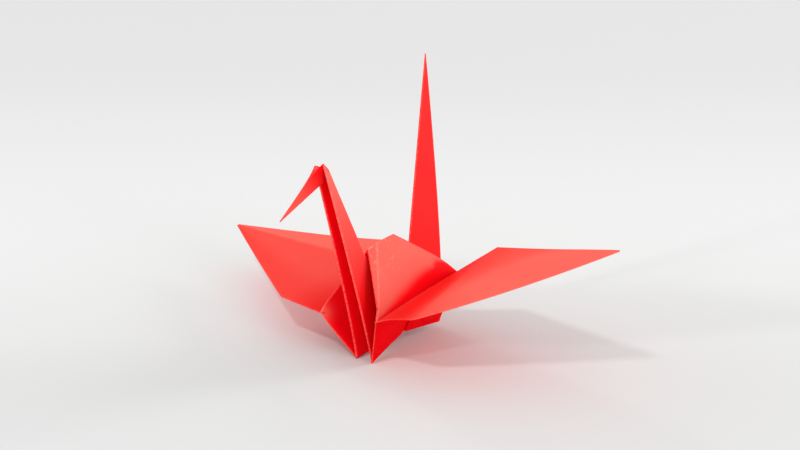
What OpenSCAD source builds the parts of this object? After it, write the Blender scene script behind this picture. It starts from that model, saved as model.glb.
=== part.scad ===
// Folded paper crane, one square sheet, wings spread and body puffed.
// Millimetres. +Z up, head towards -Y, wings along X, feet on Z = 0.
// Corners of the folded sheet are placed from the crease pattern of the flat square and the fold angles.

/* [Sheet] */
// side of the flat square sheet
sheet_side = 150; // [120:1:180]
// thickness of one layer of the paper
paper = 0.12; // [0.1:0.01:0.18]
// distance from a leg corner of the sheet to the wing crease, along the diagonal
wing_fold = 86.5; // [84.5:0.1:88]
// distance from a leg corner of the sheet to the foot, along the diagonal
foot_fold = 72.3; // [68:0.1:75]

/* [Feet] */
// gap between the two front feet
front_foot_gap = 5.1; // [3:0.1:8]
// sideways place of the front feet
front_foot_shift = 0.9; // [-1.5:0.1:1.5]
// gap between the two back feet
back_foot_gap = 4.6; // [2:0.1:6]
// sideways place of the back feet
back_foot_shift = -1.5; // [-2:0.1:1.5]
// clearance of the left back foot over the ground, the other three feet carry the crane
left_back_lift = 1.2; // [0:0.1:2]
// distance from front feet to back feet
foot_base = 30.2; // [26:0.1:32]

/* [Body] */
// distance between the two front wing-root corners
front_spread = 18.1; // [12:0.1:22]
// sideways place of the front wing-root corners
front_shift = -1.75; // [-3:0.05:3]
// how much the left front root corner stands above the mean of the two
front_tilt = 1.05; // [-2:0.05:2]
// distance of the front root corners ahead of the middle
front_reach = 18; // [16:0.1:20]
// mean height of the front root corners
front_height = 12.15; // [10:0.05:14]
// distance between the two back wing-root corners
back_spread = 8.6; // [6:0.1:16]
// sideways place of the back wing-root corners
back_shift = -0.2; // [-2:0.05:2]
// how much the left back root corner stands above the mean of the two
back_tilt = 0.3; // [-2:0.05:2]
// distance of the back root corners behind the middle
back_reach = 18.3; // [16:0.1:20]
// mean height of the back root corners
back_height = 14.8; // [12:0.05:16]
// mean height from a front root corner to the kink in the body edge above it
kink_rise = 2.7; // [2.2:0.1:3]
// mean sideways step of that kink towards the middle plane
kink_in = 0.7; // [0.6:0.1:1.2]
// how much the left kink stands above the mean of the two
kink_tilt = 0.4; // [0:0.1:0.5]
// how much further out the left kink stands than the mean of the two
kink_skew = 0.3; // [0:0.1:0.3]
// step of the kink away from the neck
kink_back = 0.7; // [0.5:0.1:0.8]
// height from a back root corner to the bend in the crest above it
back_kink_rise = 2.2; // [1.5:0.1:3]
// distance along the body from that corner to the bend
back_kink_run = 2.3; // [1:0.1:3.5]
// height of the hump's peak
hump_height = 29.6; // [26:0.1:33]
// place of the hump's peak along the body
hump_place = -1; // [-3:0.1:2]
// length of the closed ridge from the peak towards the neck
ridge_length = 10; // [6:0.1:10.8]
// drop of that ridge from peak to front end
ridge_drop = 1.3; // [0.5:0.1:4]
// outward swell of the hump faces
hump_puff = 0.9; // [0.3:0.1:2]
// gap between the two body sides at the lower seam
seam_gap = 4.4; // [3.4:0.1:7]
// height of the lower seam under the slit
seam_height = 3.7; // [3:0.1:6]
// place of the lower seam along the body
seam_place = -0.4; // [-1.5:0.1:1.5]
// height of the lowest point of the front folds between the two sides
valley_height = 2.8; // [1.5:0.1:4]
// how much higher the lowest point of the back folds lies
valley_step = 0.4; // [0.2:0.1:1]
// distance between those two points along the body
valley_gap = 2; // [1.2:0.1:3.5]
// sideways lean of the whole crane, degrees
lean = 2.4; // [-3:0.1:3]

/* [Neck and head] */
// forward lean of the neck's open edges, degrees
neck_lean = 12.8; // [6:0.1:16]
// gap between the two open edges at the head fold
neck_gap = 2.6; // [1.4:0.1:4]
// how much the left open edge ends above the mean of the two
head_tilt = 0.5; // [-1:0.1:1]
// backward bow of the open edges
neck_bow = 0.7; // [0:0.1:1.5]
// depth of the neck at the head fold, front to back
head_depth = 3.2; // [2.6:0.1:5]
// drop of the head fold from its front to the nape
head_drop = 2; // [0:0.1:3]
// length of the open edge from the head fold to the beak tip
beak_length = 17.9; // [13:0.1:22]
// slope of the beak under the horizontal, degrees
beak_angle = 36.5; // [20:0.5:45]

/* [Tail] */
// backward lean of the tail's open edges, degrees
tail_lean = -1; // [-4:0.1:12]
// backward bow of the tail's open edges
tail_bow = 1.8; // [0:0.1:2.4]

/* [Left wing] */
// rise of the strip between root and widest line, degrees
left_root_rise = 28.5; // [10:0.5:40]
// backward sweep of that strip, degrees
left_root_sweep = 1.5; // [-8:0.5:12]
// rise of the tapering part, degrees
left_rise = 21.6; // [0:0.1:40]
// backward sweep of the tapering part, degrees
left_sweep = 5.5; // [-8:0.5:15]
// turn of the widest line, back end towards the body, degrees
left_yaw = 8.7; // [0:0.1:14]
// slope of the widest line, back end up, degrees
left_pitch = 8; // [0:0.1:14]
// sag of the front edge between widest line and tip
left_sag = 0.7; // [0:0.1:3]

/* [Right wing] */
// rise of the strip between root and widest line, degrees
right_root_rise = 4; // [-2:0.5:40]
// backward sweep of that strip, degrees
right_root_sweep = 11.8; // [-4:0.1:16]
// rise of the tapering part, degrees
right_rise = -1.4; // [-3:0.1:40]
// backward sweep of the tapering part, degrees
right_sweep = 11.7; // [-4:0.1:16]
// turn of the widest line, back end towards the body, degrees
right_yaw = 10.9; // [0:0.1:14]
// slope of the widest line, back end up, degrees
right_pitch = 7.5; // [0:0.1:14]
// sag of the front edge between widest line and tip
right_sag = 0.4; // [0:0.1:3]

/* [Wing section] */
// height of the soft ridge along the middle of each wing
wing_camber = 0.5; // [0.1:0.1:1.5]
// width of the slit between the two flaps under each wing
slit_width = 0.5; // [0.3:0.05:1]
// outward lift of the flap edge at the slit in the body side
slit_lift = 0.5; // [0.2:0.05:1]
// how much the slit in the body side opens towards the seam
slit_flare = 1.1; // [0:0.1:2]

/* [Hidden] */

paper_red = [0.93, 0.13, 0.12];

// half angle of a narrowed leg of the bird base
leg_angle = 11.25;
// half width and place of the widest line of a wing, from the crease pattern
corner_half = 0.13438 * sheet_side;
corner_line = 0.67558 * sheet_side;
// place where the folded-in side flaps meet on the middle line under a wing
pocket_line = 0.5412 * sheet_side;

root_strip = corner_line - wing_fold;
taper_length = sheet_side - corner_line;
root_half = wing_fold * tan(leg_angle);
leg_edge = foot_fold / cos(leg_angle);

// layer stacks: one layer more under a flap, the four layers of a leg half, and the walls of the body
pitch = paper * 0.85;
leg_stack = 4 * paper;
side_stack = 2 * paper;
gusset_stack = 2 * paper;
hump_stack = 1.5 * paper;
// thickness of a rounded crease, more than the walls that meet in it
crease = 3 * paper;

bead_sides = 6;
hump_rows = 7;
hump_cells = 5;
wing_rows = 8;
leg_strips = 5;
edge_cells = 3;

function lerp(a, b, t) = a + (b - a) * t;
function unit(v) = v / norm(v);
function bow(t) = 4 * t * (1 - t);
function in_plane(y, z) = [-z * tan(lean), y, z];

// body corners, side is 1 for the left of the crane and -1 for its right
function front_foot(side) =
    [front_foot_shift + side * front_foot_gap / 2, -foot_base / 2, leg_stack / 2];
function back_foot(side) =
    [back_foot_shift + side * back_foot_gap / 2, foot_base / 2,
        leg_stack / 2 + (side > 0 ? left_back_lift : 0)];
function front_root(side) =
    [front_shift + side * front_spread / 2, -front_reach, front_height + side * front_tilt];
function back_root(side) = [back_shift + side * back_spread / 2, back_reach, back_height + side * back_tilt];
function front_kink(side) =
    front_root(side) + [kink_skew - side * kink_in, kink_back, kink_rise + side * kink_tilt];
function back_kink(side) = back_root(side) + [-side * back_kink_run / 4, -back_kink_run, back_kink_rise];
function root_middle(side) = lerp(front_root(side), back_root(side), 0.5);
function seam(side) = [front_shift / 2 + side * seam_gap / 2, seam_place, seam_height];

peak = in_plane(hump_place, hump_height);
ridge_front = in_plane(hump_place - ridge_length, hump_height - ridge_drop);
front_valley = in_plane(-valley_gap / 2, valley_height);
back_valley = in_plane(valley_gap / 2, valley_height + valley_step);

// neck, head and tail corners
neck_edge = leg_edge - beak_length;
head_fold = in_plane(-foot_base / 2 - neck_edge * sin(neck_lean), neck_edge * cos(neck_lean));
function head_front(side) = head_fold + side * [neck_gap / 2, 0, head_tilt];
nape = head_fold + [0, head_depth, -head_drop];
throat = lerp(nape, front_valley, 0.03);
beak_tip = head_fold + beak_length * [0, -cos(beak_angle), -sin(beak_angle)];
tail_tip = in_plane(foot_base / 2 + leg_edge * sin(tail_lean), leg_edge * cos(tail_lean));

// wing corners
function heading(side, rise, sweep) = [side * cos(rise) * cos(sweep), cos(rise) * sin(sweep), sin(rise)];
function chord(side, yaw, tip) = [-side * cos(tip) * sin(yaw), cos(tip) * cos(yaw), sin(tip)];
function wing_rise(side, root) =
    side > 0 ? (root ? left_root_rise : left_rise) : (root ? right_root_rise : right_rise);
function wing_sweep(side, root) =
    side > 0 ? (root ? left_root_sweep : left_sweep) : (root ? right_root_sweep : right_sweep);
function wing_yaw(side) = side > 0 ? left_yaw : right_yaw;
function wing_pitch(side) = side > 0 ? left_pitch : right_pitch;
function wing_sag(side) = side > 0 ? left_sag : right_sag;
function wide_middle(side) =
    root_middle(side) + root_strip * heading(side, wing_rise(side, true), wing_sweep(side, true));
function wide_corner(side, end) =
    wide_middle(side) + end * corner_half * chord(side, wing_yaw(side), wing_pitch(side));
function wing_tip(side) =
    wide_middle(side) + taper_length * heading(side, wing_rise(side, false), wing_sweep(side, false));

// a point of the wing: u is -1 on the front edge and 1 on the back edge, v runs 0 root, 1 widest line, 2 tip
tip_blunt = 0.985;
function wing_edge(side, end, v) =
    v <= 1
        ? lerp(end < 0 ? front_root(side) : back_root(side), wide_corner(side, end), v)
        : lerp(wide_corner(side, end), wing_tip(side), (v - 1) * tip_blunt)
            - [0, 0, wing_sag(side) * (end < 0 ? 1 : 0.25) * bow((v - 1) * tip_blunt)];
function wing_point(side, u, v) =
    lerp(wing_edge(side, -1, v), wing_edge(side, 1, v), (u + 1) / 2)
        + [0, 0, wing_camber * (1 - u * u) * (v <= 1 ? 0.4 + 0.6 * v : 2 - v)];

// the two flaps under a wing part in a slit, and pockets with a slanting edge lie under the root strip
slit = slit_width / (2 * corner_half);
step = 0.012;
pocket_end = 0.9;
pocket_share = (wing_fold - pocket_line) / (corner_line - pocket_line);
pocket_inner = pocket_share * corner_half / root_half;
function pocket(v) =
    v <= 1 ? lerp(pocket_inner, 0.96, v) : lerp(0.96, 0.66, min(1, (v - 1) * wing_rows));
function half_columns(v) =
    [slit, slit + step / 3, (slit + pocket(v)) / 2, pocket(v), pocket(v) + step, (1 + pocket(v)) / 2, 1];
wing_cells = 2 * len(half_columns(0)) - 1;
function wing_columns(v) =
    let (half = half_columns(v), n = len(half), even = max(0, (v - 1) * wing_rows - wing_rows + 1))
        [for (k = [0 : wing_cells])
            lerp(k < n ? -half[n - 1 - k] : half[k - n], 2 * k / wing_cells - 1, even)];
wing_steps = concat(
    [-0.03, 0.3, 0.6, pocket_end, pocket_end + 0.04, 1],
    [for (k = [1 : wing_rows]) 1 + k / wing_rows]
);
function wing_grid(side) =
    [for (k = [0 : wing_cells]) [for (v = wing_steps) wing_point(side, wing_columns(v)[k], v)]];
function layers_under(k, v) =
    let (n = len(half_columns(0)), from_slit = k < n ? n - 1 - k : k - n)
        from_slit == 0 ? 0 : from_slit >= 4 && v <= pocket_end ? 3 : 1;
function wing_depth() =
    [for (k = [0 : wing_cells]) [for (v = wing_steps) paper / 2 + pitch * layers_under(k, v)]];

// a point of a hump face: c runs along the body from front to back, r from the wing root up to the crest
function crest(side, c) =
    c <= 1 ? lerp(front_kink(side), ridge_front, c)
    : c <= 2 ? lerp(ridge_front, peak, c - 1)
    : lerp(peak, back_kink(side), c - 2);
front_share = 0.33;
peak_share = 0.55;
function root_share(c) =
    c <= 1 ? front_share * c : c <= 2 ? lerp(front_share, peak_share, c - 1) : lerp(peak_share, 1, c - 2);
function swell(side) =
    side * unit(cross(back_root(side) - front_root(side), peak - front_root(side)));
function hump_point(side, c, r) =
    lerp(lerp(front_root(side), back_root(side), root_share(c)), crest(side, c), r)
        + swell(side) * hump_puff * sin(180 * r) * sin(180 * root_share(c));
function hump_grid(side) =
    [for (i = [0 : hump_rows]) [for (k = [0 : 3 * hump_cells])
        hump_point(side, k / hump_cells, i / hump_rows)]];

// the bent edge of a body side from the crest down to the foot
function bend(a, b, c, d, t) =
    0.5 * (2 * b + (c - a) * t + (2 * a - 5 * b + 4 * c - d) * t * t + (3 * b - a - 3 * c + d) * t * t * t);
function soft_edge(crown, kink, root, foot) =
    concat(
        [crown, lerp(crown, kink, 0.5), kink, root],
        [for (k = [1 : edge_cells]) bend(kink, root, foot, 2 * foot - root, k / edge_cells)]
    );
function front_edge(side) = soft_edge(ridge_front, front_kink(side), front_root(side), front_foot(side));
function back_edge(side) = soft_edge(peak, back_kink(side), back_root(side), back_foot(side));
function edge_size(k) = k <= 3 ? crease : lerp(crease, leg_stack, (k - 3) / edge_cells);

// the lower body side: two flaps, lifted a little where they meet in the slit over the seam
flap_lift = [0, 0.5, 1, 0, 0, 1, 0.5, 0];
function slit_line(side, k) = lerp(root_middle(side), seam(side), k / edge_cells);
function side_row(side, k) =
    let (front = front_edge(side)[3 + k], back = back_edge(side)[3 + k], mid = slit_line(side, k))
        let (gap = [0, slit_width / 2, 0], wall = [0, paper, 0], flare = [0, slit_flare * k / edge_cells, 0])
            [front, lerp(front, mid, 0.5), mid - gap - flare - wall, mid - gap - flare,
                mid + gap, mid + gap + wall, lerp(back, mid, 0.5), back];
function side_grid(side) =
    [for (i = [0 : len(flap_lift) - 1]) [for (k = [0 : edge_cells]) side_row(side, k)[i]]];
function side_depth() =
    [for (i = [0 : len(flap_lift) - 1]) [for (k = [0 : edge_cells])
        side_stack / 2 + flap_lift[i] * (side_stack + slit_lift * (i < 4 ? 1 : 0.5) * k / edge_cells)]];

// bent layers of paper about a grid of points: plus and minus are the depths to both sides along its normal
function level(grid, depth) = [for (line = grid) [for (p = line) depth]];
module sheet(grid, plus, minus) {
    rows = len(grid);
    cols = len(grid[0]);
    function along(i, j) = grid[min(i + 1, rows - 1)][j] - grid[max(i - 1, 0)][j];
    function across(i, j) = grid[i][min(j + 1, cols - 1)] - grid[i][max(j - 1, 0)];
    function normal(i, j) = unit(cross(along(i, j), across(i, j)));
    function skin(depth, way) =
        [for (i = [0 : rows - 1]) for (j = [0 : cols - 1]) grid[i][j] + way * depth[i][j] * normal(i, j)];
    function top(i, j) = i * cols + j;
    function low(i, j) = rows * cols + i * cols + j;
    function quad(a, b, c, d) = [[a, b, c], [a, c, d]];
    quads = concat(
        [for (i = [0 : rows - 2]) for (j = [0 : cols - 2])
            quad(top(i, j), top(i, j + 1), top(i + 1, j + 1), top(i + 1, j))],
        [for (i = [0 : rows - 2]) for (j = [0 : cols - 2])
            quad(low(i, j), low(i + 1, j), low(i + 1, j + 1), low(i, j + 1))],
        [for (j = [0 : cols - 2]) quad(top(0, j + 1), top(0, j), low(0, j), low(0, j + 1))],
        [for (j = [0 : cols - 2])
            quad(top(rows - 1, j), top(rows - 1, j + 1), low(rows - 1, j + 1), low(rows - 1, j))],
        [for (i = [0 : rows - 2]) quad(top(i, 0), top(i + 1, 0), low(i + 1, 0), low(i, 0))],
        [for (i = [0 : rows - 2])
            quad(top(i + 1, cols - 1), top(i, cols - 1), low(i, cols - 1), low(i + 1, cols - 1))]
    );
    polyhedron(
        points = concat(skin(plus, 1), skin(minus, -1)),
        faces = [for (q = quads) for (f = q) f]
    );
}

// a wall of even thickness
module wall(grid, thick) {
    sheet(grid, level(grid, thick / 2), level(grid, thick / 2));
}

// layers to one side: the normal of a left grid points outward and that of a right grid inward
module layers(side, grid, out, thick) {
    inner = level(grid, thick / 2);
    sheet(grid, side > 0 ? out : inner, side > 0 ? inner : out);
}

// a flat folded panel or a crease with softly rounded edges, one bead of paper at each corner
module panel(corners, sizes) {
    hull()
        for (k = [0 : len(corners) - 1])
            translate(corners[k])
                sphere(d = sizes[k] / cos(180 / bead_sides), $fn = bead_sides);
}

// one half of the neck or the tail, from the open edge to the closed spine
module leg_half(foot, open_end, spine_low, spine_end, edge_bow) {
    function edge(t) = lerp(foot, open_end, t) + [0, edge_bow * bow(pow(t, 0.6)), 0];
    function spine(t) = lerp(spine_low, spine_end, t);
    for (k = [0 : leg_strips - 1])
        panel(
            [edge(k / leg_strips), edge((k + 1) / leg_strips),
                spine((k + 1) / leg_strips), spine(k / leg_strips)],
            [leg_stack, leg_stack, leg_stack, leg_stack]
        );
}

module head_half(side) {
    panel([head_front(side), nape, throat], [leg_stack, leg_stack, leg_stack]);
    panel([head_front(side), throat, beak_tip], [leg_stack, leg_stack, leg_stack]);
}

// the reverse-folded walls between the outer body side and the middle plane
module gussets(side) {
    for (fold = [[front_edge(side), front_valley], [back_edge(side), back_valley]]) {
        edge = fold[0];
        low = fold[1];
        wall([for (p = edge) [lerp(low, p, 0.03), p]], gusset_stack);
        // one straight crease from the crest to the kink, then one for each cell below it
        for (step = concat([[0, 2]], [for (k = [2 : len(edge) - 2]) [k, k + 1]]))
            panel([edge[step[0]], edge[step[1]]], [edge_size(step[0]), edge_size(step[1])]);
    }
}

module body_side(side) {
    layers(side, side_grid(side), side_depth(), side_stack);
}

module hump_face(side) {
    wall(hump_grid(side), hump_stack);
}

module wing(side) {
    layers(side, wing_grid(side), wing_depth(), paper);
    // the crease that carries the wing on the body side
    panel([front_root(side), back_root(side)], [crease, crease]);
}

module folded_crane() {
    color(paper_red) {
        for (side = [-1, 1]) {
            hump_face(side);
            gussets(side);
            body_side(side);
            wing(side);
            head_half(side);
            leg_half(front_foot(side), head_front(side), front_valley, nape, neck_bow);
            leg_half(back_foot(side), tail_tip, back_valley, tail_tip, tail_bow);
        }
        panel([ridge_front, peak, back_valley, front_valley], [crease, crease, leg_stack, leg_stack]);
    }
}

folded_crane();
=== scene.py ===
"""A crane folded from one square of red paper, standing on a plain pale floor.

The layers of the folded sheet are laid along the same corners and creases as the solid model, with rounded folds,
loose flaps and worn edges. Everything is in metres, with +Z up, the head towards -Y and the feet on Z = 0.
"""
import math

import bpy
import numpy as np
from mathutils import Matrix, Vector


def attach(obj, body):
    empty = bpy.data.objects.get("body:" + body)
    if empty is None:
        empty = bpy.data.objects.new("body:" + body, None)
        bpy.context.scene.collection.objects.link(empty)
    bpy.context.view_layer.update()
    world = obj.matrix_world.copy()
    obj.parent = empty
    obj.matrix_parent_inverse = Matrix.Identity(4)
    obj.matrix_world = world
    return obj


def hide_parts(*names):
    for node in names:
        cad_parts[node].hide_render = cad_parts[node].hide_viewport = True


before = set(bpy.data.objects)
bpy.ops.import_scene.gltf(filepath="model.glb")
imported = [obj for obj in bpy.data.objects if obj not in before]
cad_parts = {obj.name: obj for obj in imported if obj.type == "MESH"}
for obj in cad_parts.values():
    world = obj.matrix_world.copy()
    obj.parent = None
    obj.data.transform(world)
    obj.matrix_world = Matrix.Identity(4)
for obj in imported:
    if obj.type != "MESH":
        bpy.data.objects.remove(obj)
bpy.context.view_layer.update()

bl_info = {
    "name": "Folded paper crane",
    "version": (1, 0, 0),
    "blender": (4, 5, 0),
    "location": "3D View > Sidebar > Crane",
    "description": "Lays the folded layers of a paper crane and the stage that it stands on",
    "category": "Object",
}

MM = 0.001

# Places in the crease pattern of the flat square, as shares of its side
WIDEST_HALF = 0.13438  # half the widest line of a wing
WIDEST_PLACE = 0.67558  # from a leg corner along the diagonal to that line
POCKET_PLACE = 0.5412  # from a leg corner along the diagonal to the inner end of the pockets
LEG_HALF_ANGLE = math.radians(11.25)  # half the angle of a narrowed leg at its corner

FRONT_SHARE, PEAK_SHARE = 0.33, 0.55  # places along a wing root under the front end of the ridge and under the peak
TIP_END = 0.985  # share of the way to a wing tip or the beak tip at which the paper ends
RIDGE_BOW = 0.4 * MM  # upward bow of the closed ridge
EDGE_WAVE = 0.4 * MM  # wave in the front edge of the left wing's root strip
CORNER_LIFT = 0.8 * MM  # lift of the right wing's back corner
SHARP_FOLD = math.radians(50)  # faces that meet at more than this are shaded apart

SENSOR_WIDTH, LENS = 36.0, 98.446  # of the camera, in millimetres
CAMERA_TARGET = (-1.106, 1.496, 31.419)  # the point it looks at, in millimetres
LAMP_TARGET = (0, 0, 20 * MM)  # the point that the lamps look at


# Sizes, angles and colours that a user would change


def length(label, millimetres, text):
    """A length, written in millimetres and kept in metres."""
    return bpy.props.FloatProperty(
        name=label, description=text, default=millimetres * MM, unit="LENGTH", precision=5)


def turn(label, degrees, text):
    """An angle, written in degrees and kept in radians."""
    return bpy.props.FloatProperty(name=label, description=text, default=math.radians(degrees), unit="ROTATION")


def amount(label, value, text, low=0.0, high=1.0):
    """A plain number within limits."""
    return bpy.props.FloatProperty(name=label, description=text, default=value, min=low, max=high)


def tint(label, rgb, text):
    """A linear colour."""
    return bpy.props.FloatVectorProperty(
        name=label, description=text, default=rgb, size=3, subtype="COLOR", min=0.0, max=1.0)


class SheetSizes(bpy.types.PropertyGroup):
    """The flat square and its layers"""
    side: length("Side", 150, "Side of the flat square sheet")
    paper: length("Paper", 0.12, "Thickness of one layer of the paper")
    wing_fold: length("Wing crease", 86.5, "Leg corner of the sheet to the wing crease, along the diagonal")
    foot_fold: length("Foot", 72.3, "Leg corner of the sheet to the foot, along the diagonal")
    camber: length("Wing camber", 0.5, "Height of the soft ridge along the middle of each wing")
    slit_width: length("Slit", 0.5, "Width of the slit between the two flaps under each wing")
    slit_lift: length("Slit lift", 0.75, "Outward lift of the flap edge at the slit in the body side")
    slit_flare: length("Slit flare", 1.2, "How much the slit in the body side opens towards the seam")
    ripple: length("Ripple", 0.05, "Height of the faint waves in the paper")


class BodySizes(bpy.types.PropertyGroup):
    """Feet, root corners and hump"""
    front_foot_gap: length("Front foot gap", 5.1, "Gap between the two front feet")
    front_foot_shift: length("Front foot shift", 0.9, "Sideways place of the front feet")
    back_foot_gap: length("Back foot gap", 4.6, "Gap between the two back feet")
    back_foot_shift: length("Back foot shift", -1.5, "Sideways place of the back feet")
    left_back_lift: length("Left back lift", 1.2, "Clearance of the left back foot over the ground")
    foot_base: length("Foot base", 30.2, "Front feet to back feet")
    front_spread: length("Front spread", 18.1, "Distance between the two front root corners")
    front_shift: length("Front shift", -1.75, "Sideways place of the front root corners")
    front_tilt: length("Front tilt", 1.05, "Left front root corner above the mean of the two")
    front_reach: length("Front reach", 18, "Front root corners ahead of the middle")
    front_height: length("Front height", 12.15, "Mean height of the front root corners")
    back_spread: length("Back spread", 8.6, "Distance between the two back root corners")
    back_shift: length("Back shift", -0.2, "Sideways place of the back root corners")
    back_tilt: length("Back tilt", 0.3, "Left back root corner above the mean of the two")
    back_reach: length("Back reach", 18.3, "Back root corners behind the middle")
    back_height: length("Back height", 14.8, "Mean height of the back root corners")
    kink_rise: length("Kink rise", 2.8, "Mean height from a front root corner to the kink in the body edge")
    kink_in: length("Kink step", 0.5, "Mean sideways step of that kink towards the middle plane")
    kink_tilt: length("Kink tilt", 0.4, "Left kink above the mean of the two")
    kink_skew: length("Kink skew", 0.3, "Left kink further out than the mean of the two")
    kink_back: length("Kink back", 0.8, "Step of the kink away from the neck")
    back_kink_rise: length("Back kink rise", 4.8, "Height from a back root corner to the bend in the crest")
    back_kink_run: length("Back kink run", 5, "Distance along the body from that corner to the bend")
    hump_height: length("Hump height", 29.6, "Height of the hump's peak")
    hump_place: length("Hump place", -1, "Place of the hump's peak along the body")
    ridge_length: length("Ridge length", 10, "Closed ridge from the peak towards the neck")
    ridge_drop: length("Ridge drop", 1.3, "Drop of that ridge from peak to front end")
    hump_puff: length("Hump puff", 0.9, "Outward swell of the hump faces")
    seam_gap: length("Seam gap", 4.4, "Gap between the two body sides at the lower seam")
    seam_height: length("Seam height", 3.7, "Height of the lower seam under the slit")
    seam_place: length("Seam place", -0.4, "Place of the lower seam along the body")
    valley_height: length("Valley height", 2.8, "Lowest point of the front folds between the two sides")
    valley_step: length("Valley step", 0.4, "How much higher the lowest point of the back folds lies")
    valley_gap: length("Valley gap", 2, "Distance between those two points along the body")
    lean: turn("Lean", 2.4, "Sideways lean of the whole crane")


class NeckSizes(bpy.types.PropertyGroup):
    """Neck, head and tail"""
    neck_lean: turn("Neck lean", 12.8, "Forward lean of the neck's open edges")
    neck_gap: length("Neck gap", 2.6, "Gap between the two open edges at the head fold")
    head_tilt: length("Head tilt", 0.5, "Left open edge above the mean of the two at the head fold")
    neck_bow: length("Neck bow", 0.7, "Backward bow of the open edges")
    head_depth: length("Head depth", 3.2, "Depth of the neck at the head fold")
    head_drop: length("Head drop", 2, "Drop of the head fold from its front to the nape")
    beak_length: length("Beak length", 17.9, "Open edge from the head fold to the beak tip")
    beak_angle: turn("Beak angle", 36.5, "Slope of the beak under the horizontal")
    tail_lean: turn("Tail lean", -1, "Backward lean of the tail's open edges")
    tail_bow: length("Tail bow", 1.8, "Backward bow of the tail's open edges")


class LeftWingSet(bpy.types.PropertyGroup):
    """Set of the left wing"""
    root_rise: turn("Root rise", 28.5, "Rise of the strip between root and widest line")
    root_sweep: turn("Root sweep", 1.5, "Backward sweep of that strip")
    rise: turn("Rise", 21.6, "Rise of the tapering part")
    sweep: turn("Sweep", 5.5, "Backward sweep of the tapering part")
    yaw: turn("Yaw", 8.7, "Turn of the widest line, back end towards the body")
    pitch: turn("Pitch", 8, "Slope of the widest line, back end up")
    sag: length("Sag", 0.7, "Sag of the front edge between widest line and tip")


class RightWingSet(bpy.types.PropertyGroup):
    """Set of the right wing"""
    root_rise: turn("Root rise", 4, "Rise of the strip between root and widest line")
    root_sweep: turn("Root sweep", 11.8, "Backward sweep of that strip")
    rise: turn("Rise", -1.4, "Rise of the tapering part")
    sweep: turn("Sweep", 11.7, "Backward sweep of the tapering part")
    yaw: turn("Yaw", 10.9, "Turn of the widest line, back end towards the body")
    pitch: turn("Pitch", 7.5, "Slope of the widest line, back end up")
    sag: length("Sag", 0.4, "Sag of the front edge between widest line and tip")


class PaperFinish(bpy.types.PropertyGroup):
    """Colours of the dyed paper"""
    # painted light: red below is the dye's own deep colour, which shows in shade; the colour after it is a pinker
    # red drawn where the light falls on the faces
    red: tint("Red", (0.94, 0.0016, 0.0075), "Colour of the dye in the folds")
    faded: tint("Faded", (0.97, 0.275, 0.208), "Colour of the dye where light and handling have faded it")
    worn: tint("Worn", (0.95, 0.34, 0.27), "Colour of the worn folds")
    bare: tint("Bare", (0.95, 0.52, 0.45), "Colour where the dye is scratched off")
    glow: tint("Glow", (0.96, 0.002, 0.006), "Colour of the light that comes through the paper")
    roughness: amount("Roughness", 0.5, "Roughness of the dyed face")
    thinness: amount("Thinness", 0.6, "Share of the light that goes through a face of the paper")


class StageSettings(bpy.types.PropertyGroup):
    """Floor, light and camera"""
    floor: tint("Floor", (0.588, 0.593, 0.588), "Colour of the floor")
    floor_size: length("Floor size", 6000, "Side of the floor")
    wall: tint("Wall", (0.84, 0.84, 0.83), "Colour of the room's walls where they are seen")
    sky: amount("Sky", 0.93, "Strength of the even light from all round", 0.0, 2.0)
    lamp_distance: length("Lamp distance", 3000, "Distance of every lamp from the crane")
    front_lamp: amount("Front lamp", 24.0, "Power of the lamp high in front of the crane, in watts", 0.0, 200.0)
    low_lamp: amount("Low lamp", 21.0, "Power of the low lamp in front of the crane, in watts", 0.0, 200.0)
    right_lamp: amount("Right lamp", 9.0, "Power of the low lamp on the crane's right, in watts", 0.0, 200.0)
    window: amount("Window", 27.0, "Power of the broad soft light on the crane's left, in watts", 0.0, 400.0)
    back_window: amount("Back window", 52.0, "Power of the broad soft light behind the crane, in watts", 0.0, 400.0)
    camera_turn: turn("Camera turn", 39.739, "Way round from the front of the crane to the camera")
    camera_rise: turn("Camera rise", 19.841, "Height of the camera over the horizon")
    camera_distance: length("Camera distance", 553.466, "Camera to the point it looks at")


# Corners and edges of the folded sheet


def lerp(a, b, t):
    return a + (b - a) * t


def unit(v):
    return v / np.linalg.norm(v)


def hump_of(t):
    """0 at both ends, 1 in the middle."""
    return 4 * t * (1 - t)


def vec(*xyz):
    return np.array(xyz, float)


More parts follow.
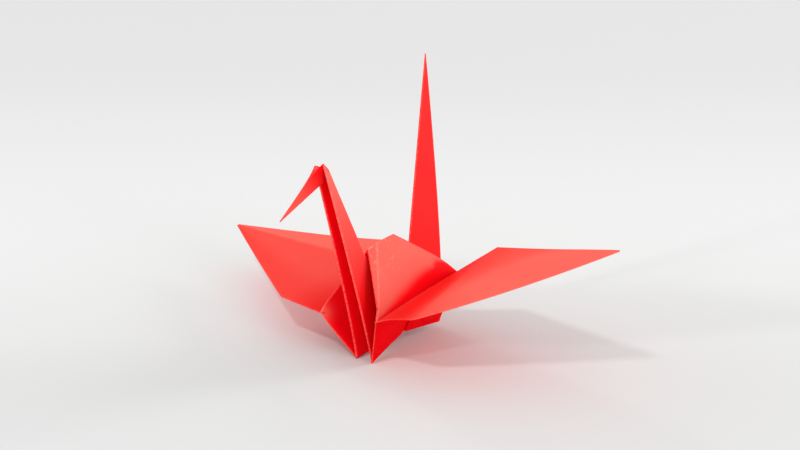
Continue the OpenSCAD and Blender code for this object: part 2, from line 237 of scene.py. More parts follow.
class Fold:
    """Corners of the crane, placed from the crease pattern of the flat square and the fold angles."""

    def __init__(self, scene):
        self.sheet = scene.crane_sheet
        self.body = scene.crane_body
        self.neck = scene.crane_neck
        self.wing_sets = {1: scene.crane_left_wing, -1: scene.crane_right_wing}
        sheet, body, neck = self.sheet, self.body, self.neck
        side = sheet.side
        self.corner_half = WIDEST_HALF * side
        corner_line = WIDEST_PLACE * side
        pocket_line = POCKET_PLACE * side
        self.root_strip = corner_line - sheet.wing_fold
        self.taper = side - corner_line
        root_half = sheet.wing_fold * math.tan(LEG_HALF_ANGLE)
        leg_edge = sheet.foot_fold / math.cos(LEG_HALF_ANGLE)
        share = (sheet.wing_fold - pocket_line) / (corner_line - pocket_line)
        self.pocket_inner = share * self.corner_half / root_half
        self.leg_stack = 4 * sheet.paper
        self.peak = self.in_plane(body.hump_place, body.hump_height)
        self.ridge_front = self.in_plane(body.hump_place - body.ridge_length, body.hump_height - body.ridge_drop)
        self.front_valley = self.in_plane(-body.valley_gap / 2, body.valley_height)
        self.back_valley = self.in_plane(body.valley_gap / 2, body.valley_height + body.valley_step)
        neck_edge = leg_edge - neck.beak_length
        self.head_fold = self.in_plane(
            -body.foot_base / 2 - neck_edge * math.sin(neck.neck_lean), neck_edge * math.cos(neck.neck_lean))
        self.nape = self.head_fold + vec(0, neck.head_depth, -neck.head_drop)
        self.throat = lerp(self.nape, self.front_valley, 0.03)
        self.beak_tip = self.head_fold + neck.beak_length * vec(
            0, -math.cos(neck.beak_angle), -math.sin(neck.beak_angle))
        self.tail_tip = self.in_plane(
            body.foot_base / 2 + leg_edge * math.sin(neck.tail_lean), leg_edge * math.cos(neck.tail_lean))

    def in_plane(self, y, z):
        """A point of the middle plane, which leans sideways."""
        return vec(-z * math.tan(self.body.lean), y, z)

    def front_foot(self, side):
        b = self.body
        return vec(b.front_foot_shift + side * b.front_foot_gap / 2, -b.foot_base / 2, self.leg_stack / 2)

    def back_foot(self, side):
        b = self.body
        lift = b.left_back_lift if side > 0 else 0
        return vec(b.back_foot_shift + side * b.back_foot_gap / 2, b.foot_base / 2, self.leg_stack / 2 + lift)

    def front_root(self, side):
        b = self.body
        return vec(b.front_shift + side * b.front_spread / 2, -b.front_reach, b.front_height + side * b.front_tilt)

    def back_root(self, side):
        b = self.body
        return vec(b.back_shift + side * b.back_spread / 2, b.back_reach, b.back_height + side * b.back_tilt)

    def front_kink(self, side):
        b = self.body
        return self.front_root(side) + vec(
            b.kink_skew - side * b.kink_in, b.kink_back, b.kink_rise + side * b.kink_tilt)

    def back_kink(self, side):
        b = self.body
        return self.back_root(side) + vec(-side * b.back_kink_run / 4, -b.back_kink_run, b.back_kink_rise)

    def root_middle(self, side):
        return lerp(self.front_root(side), self.back_root(side), 0.5)

    def seam(self, side):
        b = self.body
        return vec(b.front_shift / 2 + side * b.seam_gap / 2, b.seam_place, b.seam_height)

    def head_front(self, side):
        return self.head_fold + side * vec(self.neck.neck_gap / 2, 0, self.neck.head_tilt)

    def edge(self, side, end, t):
        """The bent edge of a body side, in front where end is -1 and behind where it is 1.

        t runs 0 crest, 1 kink, 2 root corner, 3 foot.
        """
        front = end < 0
        kink = self.front_kink(side) if front else self.back_kink(side)
        root = self.front_root(side) if front else self.back_root(side)
        foot = self.front_foot(side) if front else self.back_foot(side)
        if t <= 2 and not front:
            return self.back_crest(side, t / 2)
        if t <= 1:
            return lerp(self.ridge_front, kink, t)
        if t <= 2:
            return lerp(kink, root, t - 1)
        s = t - 2
        past = 2 * foot - root
        return 0.5 * (2 * root + (foot - kink) * s + (2 * kink - 5 * root + 4 * foot - past) * s * s
                      + (3 * root - kink - 3 * foot + past) * s ** 3)

    def crest(self, side, c):
        """The top edge of a hump face: c runs 0 front kink, 1 front of the ridge, 2 peak, 3 back root corner."""
        if c <= 1:
            return lerp(self.front_kink(side), self.ridge_front, c)
        if c <= 2:
            bow = RIDGE_BOW * math.sin(math.pi * (c - 1) ** 0.7)
            return lerp(self.ridge_front, self.peak, c - 1) + vec(0, 0, bow)
        return self.back_crest(side, c - 2)

    def back_crest(self, side, x):
        """The crest from the peak down to the back root corner, rounded near its end."""
        kink, root = self.back_kink(side), self.back_root(side)
        start, end = lerp(self.peak, kink, 0.72), lerp(kink, root, 0.6)
        round_from, round_to = 0.7, 0.94
        if x <= round_from:
            return lerp(self.peak, start, x / round_from)
        if x >= round_to:
            return lerp(end, root, (x - round_to) / (1 - round_to))
        q = (x - round_from) / (round_to - round_from)
        return lerp(lerp(start, kink, q), lerp(kink, end, q), q)

    def hump_point(self, side, c, r):
        """A point of a hump face: c runs from front to back, r from the wing root up to the crest."""
        share = np.interp(c, (0, 1, 2, 3), (0, FRONT_SHARE, PEAK_SHARE, 1))
        front, back = self.front_root(side), self.back_root(side)
        swell = side * unit(np.cross(back - front, self.peak - front))
        puff = self.body.hump_puff * math.sin(math.pi * r) * math.sin(math.pi * share)
        return lerp(lerp(front, back, share), self.crest(side, c), r) + swell * puff

    def wide_middle(self, side):
        w = self.wing_sets[side]
        return self.root_middle(side) + self.root_strip * self.heading(side, w.root_rise, w.root_sweep)

    def heading(self, side, rise, sweep):
        return vec(side * math.cos(rise) * math.cos(sweep), math.cos(rise) * math.sin(sweep), math.sin(rise))

    def wide_corner(self, side, end):
        w = self.wing_sets[side]
        chord = vec(-side * math.cos(w.pitch) * math.sin(w.yaw), math.cos(w.pitch) * math.cos(w.yaw),
                    math.sin(w.pitch))
        return self.wide_middle(side) + end * self.corner_half * chord

    def wing_tip(self, side):
        w = self.wing_sets[side]
        return self.wide_middle(side) + self.taper * self.heading(side, w.rise, w.sweep)

    def wing_edge(self, side, end, v):
        """A point of a wing's front or back edge, as end is -1 or 1: v runs 0 root, 1 widest line, 2 tip."""
        if v <= 1:
            root = self.front_root(side) if end < 0 else self.back_root(side)
            lift = 0
            if v > 0 and side > 0 > end:
                crossing = 0.72
                up, down = v / crossing, (v - crossing) / (1 - crossing)
                lift = EDGE_WAVE * (math.sin(math.pi * up) if up < 1 else -0.5 * math.sin(math.pi * down))
            elif side < 0 < end:
                lift = CORNER_LIFT * max(0, v)
            return lerp(root, self.wide_corner(side, end), v) + vec(0, 0, lift)
        t = (v - 1) * TIP_END
        drop = self.wing_sets[side].sag * (1 if end < 0 else 0.25) * hump_of(t)
        if side < 0 < end:
            drop -= CORNER_LIFT * max(0, 1 - 2 * t) ** 2
        return lerp(self.wide_corner(side, end), self.wing_tip(side), t) - vec(0, 0, drop)

    def wing_point(self, side, u, v):
        """A point of a wing: u runs from -1 on its front edge to 1 on its back edge, v as on its edges."""
        flat = lerp(self.wing_edge(side, -1, v), self.wing_edge(side, 1, v), (u + 1) / 2)
        swell = self.sheet.camber * (1 - u * u) * (0.4 + 0.6 * v if v <= 1 else 2 - v)
        if side > 0:
            ends = min(1, max(0, (2 - v) * 2)) * min(1, max(0, v - 0.6))
            bend = 0.3 * MM * math.exp(-(self.streak(u, v) / 0.22) ** 2) * ends
        else:
            bend = -0.35 * MM * max(0, u - 0.45) * (2 - v)
        return flat + vec(0, 0, swell + bend)

    def streak(self, u, v):
        """How far a point of the left wing lies behind the soft ridge from its front root to its back tip."""
        return ((u + 0.45) - 1.69 * (v - 1.07)) / 1.96

    def pocket(self, v):
        """Place across the wing of the slanting inner edge of a pocket."""
        return lerp(self.pocket_inner, 0.97, v)


# Layers of paper as one mesh


def spread(n, crowd=0.0):
    """n + 1 values from 0 to 1, crowded towards both ends."""
    x = np.linspace(0, 1, n + 1)
    return x - crowd * np.sin(2 * np.pi * x) / (2 * np.pi)


def soften(path, times):
    """A path with its bends rounded off and its two ends kept."""
    path = path.copy()
    for _ in range(times * times):
        path[1:-1] = (path[:-2] + 2 * path[1:-1] + path[2:]) / 4
    return path


def grid_of(rows, columns, point):
    return np.array([[point(a, b) for b in columns] for a in rows])


def normals_of(grid):
    along = np.gradient(grid, axis=0)
    across = np.gradient(grid, axis=1)
    n = np.cross(along, across)
    return n / np.maximum(np.linalg.norm(n, axis=2, keepdims=True), 1e-12)


def ripple_at(p):
    """Faint waves in the paper, the same for every build: sines across the sheet in fixed ways."""
    q = p / MM
    return (np.sin(0.55 * q[..., 0] + 0.31 * q[..., 1] + 0.2 * q[..., 2])
            + np.sin(0.23 * q[..., 0] - 0.62 * q[..., 1] + 0.35 * q[..., 2] + 1.7)
            + 0.6 * np.sin(0.9 * q[..., 0] + 0.4 * q[..., 1] - 0.8 * q[..., 2] + 4.1)) / 2.6


# What is marked on each point of the paper, and its usual value
MARKS = {
    "fold_mm": 9.0,  # distance from a worn fold, in millimetres
    "line_mm": 9.0,  # distance ahead of the worn line on the hump, in millimetres, and below 0 behind it; 0 on a painted highlight at the front of the ridge
    "scuff": 0.0,  # scratching of the dye
    "fade": 0.0,  # painted light and shade: 0 for the deep red of the dye where shade falls, rising towards the lighter painted colour where the light falls
    "stack": 0.0,  # share of the light that a thick stack of layers stops
}


class PaperMesh:
    """Collects rounded layers of paper and the marks on them."""

    def __init__(self, ripple):
        self.points, self.faces = [], []
        self.marks = {key: [] for key in MARKS}
        self.ripple = ripple

    def add(self, points, marks):
        start = len(self.points)
        self.points.extend(points.tolist())
        for key in MARKS:
            self.marks[key].extend(marks[key].tolist())
        return start

    def layer(self, grid, over, under, facing, worn="", waves=1.0, inner_fade=0.0, **marks):
        """One closed layer about a grid: over is its depth on the side that faces a way, under that on the other.

        worn names the sides of the grid that are folds: a and b are its first and last row, c and d its first and
        last column. marks gives the other marks of its points, and the last named argument the painted light and
        shade on its other side.
        """
        rows, cols = grid.shape[:2]
        over, under = (np.broadcast_to(x, (rows, cols)).astype(float) for x in (over, under))
        marks = {key: np.broadcast_to(marks.get(key, usual), (rows, cols)) for key, usual in MARKS.items()}
        if np.mean(normals_of(grid) @ np.asarray(facing, float)) < 0:
            grid, over, under = (x[::-1] for x in (grid, over, under))
            marks = {key: x[::-1] for key, x in marks.items()}
            worn = worn.translate(str.maketrans("ab", "ba"))
        gap = {
            "a": np.linalg.norm(grid - grid[:1], axis=2), "b": np.linalg.norm(grid - grid[-1:], axis=2),
            "c": np.linalg.norm(grid - grid[:, :1], axis=2), "d": np.linalg.norm(grid - grid[:, -1:], axis=2),
        }
        rim_gap = np.minimum.reduce(list(gap.values()))
        grid = grid + normals_of(grid) * (
            waves * self.ripple * ripple_at(grid) * np.clip(rim_gap / (4 * MM), 0, 1) ** 2)[..., None]
        n = normals_of(grid)
        for k in worn:
            marks["fold_mm"] = np.minimum(marks["fold_mm"], gap[k] / MM)
        flat = {key: x.ravel() for key, x in marks.items()}
        top = self.add((grid + n * over[..., None]).reshape(-1, 3), flat)
        flat = {**flat, "fade": np.full(rows * cols, inner_fade)}
        low = self.add((grid - n * under[..., None]).reshape(-1, 3), flat)
        i, j = np.meshgrid(np.arange(rows - 1), np.arange(cols - 1), indexing="ij")
        a, b, c, d = ((i + di) * cols + j + dj for di, dj in ((0, 0), (1, 0), (1, 1), (0, 1)))
        quads = np.stack([a, b, c, d], -1).reshape(-1, 4)
        self.faces.extend((quads + top).tolist())
        self.faces.extend((quads[:, ::-1] + low).tolist())
        loop = ([(k, 0) for k in range(rows)] + [(rows - 1, k) for k in range(1, cols)]
                + [(k, cols - 1) for k in range(rows - 2, -1, -1)] + [(0, k) for k in range(cols - 2, 0, -1)])
        ii, jj = np.array(loop).T
        edge, en = grid[ii, jj], n[ii, jj]
        way = np.roll(edge, -1, 0) - np.roll(edge, 1, 0)
        out = np.cross(way, en)
        out /= np.maximum(np.linalg.norm(out, axis=1, keepdims=True), 1e-12)
        half = ((over + under) / 2)[ii, jj][:, None]
        mid = edge + en * ((over - under) / 2)[ii, jj][:, None]
        rings = [ii * cols + jj + top]
        for angle in (45, 0, -45):
            s, c0 = math.sin(math.radians(angle)), math.cos(math.radians(angle))
            start = self.add(mid + half * (s * en + c0 * out), {key: x[ii, jj] for key, x in marks.items()})
            rings.append(np.arange(len(loop)) + start)
        rings.append(ii * cols + jj + low)
        for upper, lower in zip(rings, rings[1:]):
            self.faces.extend(
                np.stack([np.roll(upper, -1), upper, lower, np.roll(lower, -1)], -1).tolist())

    def to_object(self, name):
        mesh = bpy.data.meshes.new(name)
        mesh.from_pydata(self.points, [], self.faces)
        for key, values in self.marks.items():
            mesh.attributes.new(key, "FLOAT", "POINT").data.foreach_set("value", np.array(values, np.float32))
        mesh.shade_smooth()
        mesh.set_sharp_from_angle(angle=SHARP_FOLD)
        mesh.update()
        mesh.validate()
        obj = bpy.data.objects.new(name, mesh)
        bpy.context.scene.collection.objects.link(obj)
        return obj


def distance_to_segment(p, a, b):
    t = np.clip(((p - a) @ (b - a)) / ((b - a) @ (b - a)), 0, 1)
    return np.linalg.norm(p - a - t[..., None] * (b - a), axis=-1)


def smooth(low, high, x):
    """0 below low, 1 above high, and smooth between."""
    t = np.clip((np.asarray(x, float) - low) / (high - low), 0, 1)
    return t * t * (3 - 2 * t)


def lay_hump(mesh, fold, side):
    """One swelling face over a wing, with the faint crease beside its front edge and the scuffs at its top."""
    rows = spread(30, 0.5)
    cols = np.unique(np.concatenate([spread(24, 0.6), 1 + spread(18), 2 + spread(26, 0.6) * 0.99]))
    grid = grid_of(rows, cols, lambda r, c: fold.hump_point(side, c, r))
    # the worn crease runs from the front root corner to the ridge
    foot, head = fold.front_root(side), fold.crest(side, 1.35)
    out = normals_of(grid)
    out = out if np.mean(out[..., 0]) * side > 0 else -out
    across = np.cross(head - foot, out.mean((0, 1)))
    across *= np.sign(across @ (fold.crest(side, 1) - foot)) / np.linalg.norm(across)
    ahead = (grid - foot) @ across
    # scuffs and crumples about the front of the ridge, and one wrinkle before the crease
    notch = np.linalg.norm(grid - fold.crest(side, 1.3), axis=2)
    scuff = np.exp(-(notch / (6.5 * MM)) ** 2)
    inside = np.clip(np.minimum(1 - rows[:, None], 0.25) * 4, 0, 1) * np.ones((1, len(cols)))
    q = grid / MM
    crumple = np.sin(1.9 * q[..., 1] + 1.1 * q[..., 2]) + np.sin(2.6 * q[..., 2] - 1.3 * q[..., 1] + 1.0)
    wrinkle = distance_to_segment(grid, fold.crest(side, 0.46), lerp(foot, head, 0.52))
    lift = 0.25 * MM * np.exp(-abs(ahead) / (0.8 * MM)) + 0.035 * MM * crumple * scuff
    lift -= 0.14 * MM * np.exp(-(wrinkle / (0.5 * MM)) ** 2)
    grid = grid + out * (lift * inside)[..., None]
    paper = fold.sheet.paper
    # painted light and shade: the hump is drawn deep red beside the wing root, where shade falls, and lighter above
    # this edge, where the light falls; it is drawn darker on the facet ahead of the crease, and less light goes
    # through the paper where the shade is painted
    edge = np.interp(cols, (0.0, 1.35, 2.0, 2.5, 2.7, 2.9), (0.1, 0.19, 0.27, 0.43, 0.66, 1.0))
    fade = smooth(edge - 0.1, edge + 0.14, rows[:, None])
    fade = fade * (0.76 - 0.18 * smooth(0, 1.2 * MM, ahead))
    # a painted highlight: the pale crease colour is drawn on a small spot at the front of the ridge
    painted_highlight_mm = np.linalg.norm(grid - fold.crest(side, 1.02), axis=2) / MM
    line = np.where(painted_highlight_mm < 0.6, 0, ahead / MM)
    mesh.layer(grid, paper * 0.75, paper * 0.75, (side, 0, 0.5), worn="abcd", line_mm=line, scuff=scuff, fade=fade,
               stack=0.6 * (1 - fade))


def lay_gussets(mesh, fold, side):
    """The reverse-folded walls between the outer body edge and the middle plane."""
    steps = np.concatenate([spread(16), 1 + spread(5)[1:], 2 + spread(22)[1:]])
    for end, low in ((-1, fold.front_valley), (1, fold.back_valley)):
        edge = np.array([fold.edge(side, end, t) for t in steps])
        soft = soften(edge, 5)
        grid = np.stack([low + (lerp(soft, edge, s ** 4) - low) * s for s in 0.02 + 0.98 * spread(20, 0.5)], 1)
        # painted light: on the right side the wall is drawn paler about the front root corner, where the light
        # falls across the bend from the wing
        corner = np.linalg.norm(grid - fold.front_root(side), axis=2) / MM
        fade = 0.5 * np.exp(-(corner / 2.3) ** 2) if side < 0 else 0.0
        mesh.layer(grid, fold.sheet.paper, fold.sheet.paper, (0, end, 0.1), worn="d", waves=0.6,
                   fade=fade, stack=0.45)


def lay_body_side(mesh, fold, side):
    """The lower body side: an inner wall and two loose flaps that meet in a slit over the seam."""
    paper = fold.sheet.paper
    down = spread(20, 0.3)

    def slit_line(t):
        return lerp(fold.root_middle(side), fold.seam(side), t)

    def wall(a, t):
        front, back, mid = fold.edge(side, -1, 2 + t), fold.edge(side, 1, 2 + t), slit_line(t)
        return lerp(front, mid, 2 * a) if a <= 0.5 else lerp(mid, back, 2 * a - 1)

    out = (side, 0, -0.5)
    mesh.layer(grid_of(spread(28), down, wall), paper * 0.8, paper * 0.8, out, worn="ab", waves=0.4)
    for end, lift in ((-1, 1.0), (1, 0.5)):
        def flap(a, t):
            proud = paper * 1.3 * min(1, a * 6) + fold.sheet.slit_lift * lift * a ** 1.6 * t
            wide = fold.sheet.slit_width / 2 + fold.sheet.slit_flare * t * lift ** 2
            gap = vec(0, end * wide, 0.3 * MM * t * lift ** 2)
            return lerp(fold.edge(side, end, 2 + t), slit_line(t) + gap, a) + proud * unit(vec(*out))

        mesh.layer(grid_of(spread(20, 0.4), down, flap), paper * 0.6, paper * 0.6, out, worn="a", waves=0.5)


def lay_wing(mesh, fold, side):
    """A wing: the top layer with the two flaps turned under it, which meet in a slit along the middle."""
    paper = fold.sheet.paper
    slit = fold.sheet.slit_width / (2 * fold.corner_half)
    columns = np.concatenate([[-0.03], spread(14)[1:], 1 + spread(44, 0.3)[1:]])
    half = np.concatenate([slit * spread(2)[1:], slit + 0.012 + (0.988 - slit) * spread(24, 0.4)])
    across = np.concatenate([-half[::-1], [0.0], half])
    surface = grid_of(across, columns, lambda u, v: fold.wing_point(side, u, v))
    place, v = across[:, None], columns[None, :]
    turned = np.where(np.abs(place) > slit + 0.005, 1.25 + 1.2 * (1 - np.abs(place)) ** 2, 0.0) * paper
    # painted light and shade: the left wing is drawn lighter towards its tip and along its soft ridge, where the
    # light falls, and deeper red behind that ridge and at its root; the right one lighter towards its tip and back
    # edge, and the underside of each a little paler
    if side > 0:
        off = fold.streak(place, v)
        wing_painted_light = 1.1 + 0.2 * np.exp(-(off / 0.16) ** 2) - 0.38 * smooth(0.05, 0.5, off)
        wing_painted_light = lerp(0.34 - 0.22 * smooth(0, 0.4, v), wing_painted_light, smooth(0.55, 1.45, v))
    else:
        wing_painted_light = (0.55 - 0.15 * smooth(0.2, 0.8, -place)) * (0.25 + 0.75 * smooth(-0.1, 1.1, v))
        wing_painted_light = wing_painted_light + 1.1 * smooth(0.25, 0.6, place)
    mesh.layer(surface, paper * 0.46, paper * 0.46 + turned, (0, 0, 1), worn="ab", waves=0.0,
               inner_fade=0.2, fade=wing_painted_light)
    # pockets with a slanting inner edge under the root strip
    for end in (-1, 1):
        def flap(a, v):
            u = end * lerp(0.975, min(0.97, fold.pocket(v)), a)
            return fold.wing_point(side, u, v)

        grid = grid_of(spread(14, 0.3), 0.93 * spread(14), flap)
        n = normals_of(grid)
        if n[..., 2].mean() > 0:
            n = -n
        mesh.layer(grid + n * (2.6 * paper), paper * 0.5, paper * 0.5, (0, 0, -1), waves=0.0)


def lay_leg(mesh, fold, foot, open_end, spine_low, spine_end, edge_bow, side, end_depth, reach, fade):
    """One half of the neck or the tail, from the open edge to the closed spine.

    end_depth is the share of the stack's depth at its end, reach the share of its way that it runs, and the last
    argument the places along it and the painted light and shade there.
    """
    def point(t, s):
        edge = lerp(foot, open_end, t) + vec(0, edge_bow * hump_of(t ** 0.6), 0)
        return lerp(edge, lerp(spine_low, spine_end, t), s)

    rows = spread(60) * reach
    depth = (fold.leg_stack / 2 * lerp(1.0, end_depth, rows))[:, None]
    mesh.layer(grid_of(rows, spread(18, 0.5), point), depth, depth, (side, 0, 0), worn="cd", waves=0.8,
               fade=np.interp(rows, *fade)[:, None], stack=0.75)


def lay_head(mesh, fold, side):
    """The head fold and one half of the beak."""
    stack = fold.leg_stack / 2 * 0.8

    def cheek(s, q):
        return lerp(fold.head_front(side), lerp(fold.nape, fold.throat, q), s)

    mesh.layer(grid_of(0.03 + 0.97 * spread(10), spread(8), cheek), stack, stack, (side, 0, 0), waves=0.0)
    rows = spread(30) * TIP_END
    depth = (stack * lerp(1.0, 0.5, rows))[:, None]
    apart = fold.head_front(side) - fold.head_fold

    def beak(s, q):
        return lerp(lerp(fold.head_fold, fold.throat, q), fold.beak_tip, s) + apart * (1 - q) * (1 - s) ** 5

    # painted light and shade: the beak is drawn deep red at the head fold, where shade falls, and lighter towards
    # its tip; its inner face is drawn paler
    mesh.layer(grid_of(rows, spread(10), beak), depth, depth, (side, 0, 0), waves=0.4, inner_fade=0.6, stack=0.5,
               fade=np.interp(rows, (0, 0.12, 0.5, 1), (0.0, 0.02, 0.28, 0.44))[:, None])


def lay_middle(mesh, fold):
    """The walls in the middle plane under the closed ridge."""
    paper = fold.sheet.paper
    for a, b, c in ((fold.ridge_front, fold.peak, fold.front_valley),
                    (fold.front_valley, fold.back_valley, fold.peak)):
        grid = grid_of(spread(12) * 0.98, spread(10), lambda s, q: lerp(lerp(a, b, q), c, s))
        mesh.layer(grid, paper, paper, (1, 0, 0), worn="a", waves=0.0)


# Materials


class Socket:
    """A node's output, with arithmetic that adds Math nodes."""

    def __init__(self, nodes, output):
        self.nodes, self.output = nodes, output

    def math(self, operation, other=None, clamp=False):
        values = {0: self} if other is None else {0: self, 1: other}
        return self.nodes.add("ShaderNodeMath", {"operation": operation, "use_clamp": clamp}, values)

    def __add__(self, other):
        return self.math("ADD", other)

    __radd__ = __add__

    def __mul__(self, other):
        return self.math("MULTIPLY", other)

    __rmul__ = __mul__

    def __sub__(self, other):
        return self.math("SUBTRACT", other)

    def __rsub__(self, other):
        return self.nodes.add("ShaderNodeMath", {"operation": "SUBTRACT"}, {0: other, 1: self})

    def above(self, low, high):
        """0 below low, 1 above high, and smooth between."""
        return self.nodes.add(
            "ShaderNodeMapRange", {"interpolation_type": "SMOOTHSTEP"},
            {"Value": self, "From Min": low, "From Max": high, "To Min": 0.0, "To Max": 1.0})

    def near(self, width):
        """1 at 0, falling to 0 over about twice the width."""
        return self.nodes.add(
            "ShaderNodeMapRange", {"interpolation_type": "SMOOTHSTEP"},
            {"Value": self, "From Min": 0.0, "From Max": 2 * width, "To Min": 1.0, "To Max": 0.0})


class Finish:
    """The nodes of a material or of the world."""

    def __init__(self, owner):
        self.owner = owner
        owner.use_nodes = True
        self.tree = owner.node_tree
        self.tree.nodes.clear()

    def add(self, kind, settings=None, inputs=None, output=0):
        """A node of a kind, with its settings and the values or links of its sockets. Gives the named output."""
        node = self.tree.nodes.new(kind)
        for key, value in (settings or {}).items():
            setattr(node, key, value)
        for key, value in (inputs or {}).items():
            if isinstance(value, Socket):
                self.tree.links.new(value.output, node.inputs[key])
            else:
                node.inputs[key].default_value = value
        return Socket(self, node.outputs[output]) if len(node.outputs) else None

    def mix(self, factor, a, b):
        """Two colours mixed."""
        a, b = (x if isinstance(x, Socket) else (*x, 1.0) for x in (a, b))
        return self.add("ShaderNodeMix", {"data_type": "RGBA"}, {0: factor, 6: a, 7: b}, output=2)

    def noise(self, where, scale, detail, roughness=0.5):
        """Cloudy noise, with its scale per metre."""
        return self.add("ShaderNodeTexNoise", {}, {
            "Vector": where, "Scale": scale, "Detail": detail, "Roughness": roughness})

    def attribute(self, name):
        return self.add("ShaderNodeAttribute", {"attribute_name": name}, output="Fac")

    def finish(self, shader):
        """Link the last shader to the output, and give the material or the world back."""
        kind = "ShaderNodeOutputWorld" if isinstance(self.owner, bpy.types.World) else "ShaderNodeOutputMaterial"
        self.add(kind, {}, {"Surface": shader})
        return self.owner


def red_paper(look):
    """Dyed folding paper: a mottled red face with painted light and shade, worn folds, a painted highlight at the
    front of the ridge, and a few scratches on the hump.
    """
    f = Finish(bpy.data.materials.new("red_paper"))
    where = f.add("ShaderNodeTexCoord", output="Object")
    cloud = f.noise(where, 140.0, 3.0)
    grain = f.noise(where, 1500.0, 4.0, 0.7)
    fibre = f.noise(f.add("ShaderNodeMapping", {}, {"Vector": where, "Scale": (1.0, 0.35, 1.0)}), 5200.0, 2.0)
    fold, line, scuff, fade, stack = (f.attribute(key) for key in MARKS)
    mottle = cloud * 0.16 + grain * 0.14 - 0.15
    # painted light and shade: the dye's deep red is mixed towards the lighter painted colour by the painted light
    # mark, with the mottling
    colour = f.mix((fade + mottle * (fade + 0.15)).math("MAXIMUM", 0.0), tuple(look.red), tuple(look.faded))
    rub = fold.near(0.16) * grain.above(0.32, 0.6)
    colour = f.mix(rub * 0.3, colour, tuple(look.worn))
    # a pale line along the worn crease, which also draws the painted highlight at the front of the ridge
    line = line.math("ABSOLUTE")
    crease = line.near(0.22) * grain.above(0.3, 0.6)
    colour = f.mix(crease * 0.4, colour, tuple(look.bare))
    scratch = f.noise(f.add("ShaderNodeMapping", {}, {"Vector": where, "Scale": (1.0, 1.0, 0.13)}), 1500.0, 1.0)
    bare = scratch.above(0.6, 0.7) * scuff
    colour = f.mix(bare * 0.8, colour, tuple(look.bare))
    rough = grain * 0.16 + (look.roughness - 0.08)
    height = fibre * 0.35 + grain * 0.65 + line.near(0.3) * 0.9
    bump = f.add("ShaderNodeBump", {}, {"Height": height, "Strength": 0.35, "Distance": 0.06 * MM}, output="Normal")
    skin = f.add("ShaderNodeBsdfPrincipled", {}, {
        "Base Color": colour, "Roughness": rough, "Normal": bump, "Specular IOR Level": 0.03,
    })
    glow = f.add("ShaderNodeBsdfTranslucent", {}, {"Color": (*look.glow, 1.0), "Normal": bump})
    return f.finish(f.add("ShaderNodeMixShader", {}, {0: (1.0 - stack) * look.thinness, 1: skin, 2: glow}))


def pale_floor(look):
    """A matt pale table top with the faintest cloudiness, and painted shade that makes it a little darker before
    and behind the crane.
    """
    f = Finish(bpy.data.materials.new("pale_floor"))
    where = f.add("ShaderNodeTexCoord", output="Object")
    cloud = f.noise(where, 3.0, 2.0).above(0.2, 0.8)
    base = tuple(look.floor)
    # painted shade: the floor is drawn darker in bands towards the front and the back of the view, along the way
    # below
    cloudy, behind, before = (tuple(share * c for c in base) for share in (0.99, 0.91, 0.905))
    way_back = (-0.639, 0.769, 0.0)  # level, from the crane's front left to its back right
    deep = f.add("ShaderNodeVectorMath", {"operation": "DOT_PRODUCT"}, {0: where, 1: way_back}, output="Value")
    colour = f.mix(cloud, cloudy, base)
    colour = f.mix(deep.above(0.1, 0.27), colour, behind)
    colour = f.mix(deep.above(-0.04, 0.08), before, colour)
    skin = f.add("ShaderNodeBsdfPrincipled", {}, {
        "Base Color": colour, "Roughness": 0.7, "Specular IOR Level": 0.2,
    })
    return f.finish(skin)


def plain_room(look):
    """Even light from all round, and pale walls where the room itself is seen."""
    f = Finish(bpy.data.worlds.new("room"))
    seen = [f.add("ShaderNodeLightPath", output=key) for key in (
        "Is Camera Ray", "Is Glossy Ray", "Is Transmission Ray")]
    even = f.add("ShaderNodeBackground", {}, {"Color": (1.0, 1.0, 1.0, 1.0), "Strength": look.sky})
    wall = f.add("ShaderNodeBackground", {}, {"Color": (*look.wall, 1.0), "Strength": 1.0})
    share = (seen[0] + seen[1]).math("ADD", seen[2], clamp=True)
    return f.finish(f.add("ShaderNodeMixShader", {}, {0: share, 1: even, 2: wall}))


# Operators


class CRANE_OT_fold_sheet(bpy.types.Operator):
    """Lay the layers of the folded sheet in place of the plain solid"""
    bl_idname = "crane.fold_sheet"
    bl_label = "Fold the sheet"
    bl_options = {"REGISTER", "UNDO"}

    def execute(self, context):
        fold = Fold(context.scene)
        mesh = PaperMesh(fold.sheet.ripple)
        for side in (-1, 1):
            lay_hump(mesh, fold, side)
            lay_gussets(mesh, fold, side)
            lay_body_side(mesh, fold, side)
            lay_wing(mesh, fold, side)
            lay_head(mesh, fold, side)
            # the last tuples give the painted light and shade: the neck drawn lighter towards the head, the tail
            # nearly the deep red of the dye
            lay_leg(mesh, fold, fold.front_foot(side), fold.head_front(side), fold.front_valley, fold.nape,
                    fold.neck.neck_bow, side, 0.85, 1.0, ((0.25, 0.95), (0.0, 0.42)))
            lay_leg(mesh, fold, fold.back_foot(side), fold.tail_tip, fold.back_valley, fold.tail_tip,
                    fold.neck.tail_bow, side, 0.45, 0.994, ((0.0, 0.6, 1.0), (0.06, 0.08, 0.1)))
        lay_middle(mesh, fold)
        crane = mesh.to_object("folded_sheet")
        crane.data.materials.append(red_paper(context.scene.crane_finish))
        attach(crane, "root")
        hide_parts("folded_crane")
        return {"FINISHED"}


def way_to(turned, rise):
    """The way from the crane to a place that far round from its front and that high over the horizon."""
    return Vector((math.sin(turned) * math.cos(rise), -math.cos(turned) * math.cos(rise), math.sin(rise)))


def aim(obj, place, target):
    """Put a lamp or the camera at a place and turn it to a target."""
    obj.location = place
    obj.rotation_euler = (Vector(target) - Vector(place)).to_track_quat("-Z", "Y").to_euler()


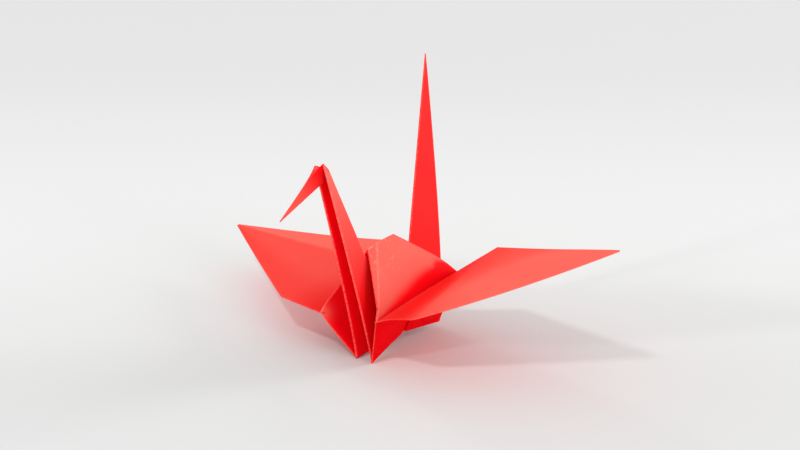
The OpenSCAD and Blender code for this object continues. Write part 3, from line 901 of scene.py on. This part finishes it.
class CRANE_OT_set_stage(bpy.types.Operator):
    """Lay the floor, set the lamps and place the camera"""
    bl_idname = "crane.set_stage"
    bl_label = "Set the stage"
    bl_options = {"REGISTER", "UNDO"}

    def execute(self, context):
        scene, look = context.scene, context.scene.crane_stage
        scene.view_settings.view_transform = "Standard"
        self.lay_floor(scene, look)
        self.light(scene, look)
        self.place_camera(scene, look)
        return {"FINISHED"}

    def lay_floor(self, scene, look):
        half = look.floor_size / 2
        mesh = bpy.data.meshes.new("floor")
        corners = [(-half, -half, 0), (half, -half, 0), (half, half, 0), (-half, half, 0)]
        mesh.from_pydata(corners, [], [(0, 1, 2, 3)])
        floor = bpy.data.objects.new("floor", mesh)
        floor.data.materials.append(pale_floor(look))
        scene.collection.objects.link(floor)

    def light(self, scene, look):
        scene.world = plain_room(look)
        # each lamp's turn from the front of the crane and its height in degrees, and its size over its distance
        for name, watts, turned, rise, size in (
            ("front_lamp", look.front_lamp, 15, 52, 0.09),
            ("low_lamp", look.low_lamp, 345, 22, 0.1),
            ("right_lamp", look.right_lamp, 255, 22, 0.1),
            ("window", look.window, 80, 17, 0.45),
            ("back_window", look.back_window, 150, 17, 0.45),
        ):
            lamp = bpy.data.lights.new(name, "AREA")
            lamp.shape, lamp.size, lamp.energy = "DISK", size * look.lamp_distance, watts
            obj = bpy.data.objects.new(name, lamp)
            scene.collection.objects.link(obj)
            way = way_to(math.radians(turned), math.radians(rise))
            aim(obj, way * look.lamp_distance, LAMP_TARGET)

    def place_camera(self, scene, look):
        camera = bpy.data.cameras.new("camera")
        camera.sensor_width, camera.lens = SENSOR_WIDTH, LENS
        camera.clip_start, camera.clip_end = 0.01, 50.0
        obj = bpy.data.objects.new("camera", camera)
        scene.collection.objects.link(obj)
        target = Vector(CAMERA_TARGET) * MM
        aim(obj, target + way_to(look.camera_turn, look.camera_rise) * look.camera_distance, target)
        scene.camera = obj


class CRANE_PT_panel(bpy.types.Panel):
    """The crane's sizes and the two steps that build it"""
    bl_idname = "CRANE_PT_panel"
    bl_label = "Paper crane"
    bl_space_type = "VIEW_3D"
    bl_region_type = "UI"
    bl_category = "Crane"

    def draw(self, context):
        scene = context.scene
        for operator in (CRANE_OT_fold_sheet, CRANE_OT_set_stage):
            self.layout.operator(operator.bl_idname)
        for key in GROUPS:
            box = self.layout.box()
            box.label(text=GROUPS[key].__doc__)
            for name in GROUPS[key].__annotations__:
                box.prop(getattr(scene, key), name)


GROUPS = {
    "crane_sheet": SheetSizes,
    "crane_body": BodySizes,
    "crane_neck": NeckSizes,
    "crane_left_wing": LeftWingSet,
    "crane_right_wing": RightWingSet,
    "crane_finish": PaperFinish,
    "crane_stage": StageSettings,
}
CLASSES = (*GROUPS.values(), CRANE_OT_fold_sheet, CRANE_OT_set_stage, CRANE_PT_panel)


def register():
    for cls in CLASSES:
        bpy.utils.register_class(cls)
    for key, group in GROUPS.items():
        setattr(bpy.types.Scene, key, bpy.props.PointerProperty(type=group))


def unregister():
    for key in GROUPS:
        delattr(bpy.types.Scene, key)
    for cls in reversed(CLASSES):
        bpy.utils.unregister_class(cls)


def main():
    register()
    bpy.ops.crane.fold_sheet()
    bpy.ops.crane.set_stage()


if __name__ == "__main__":
    main()
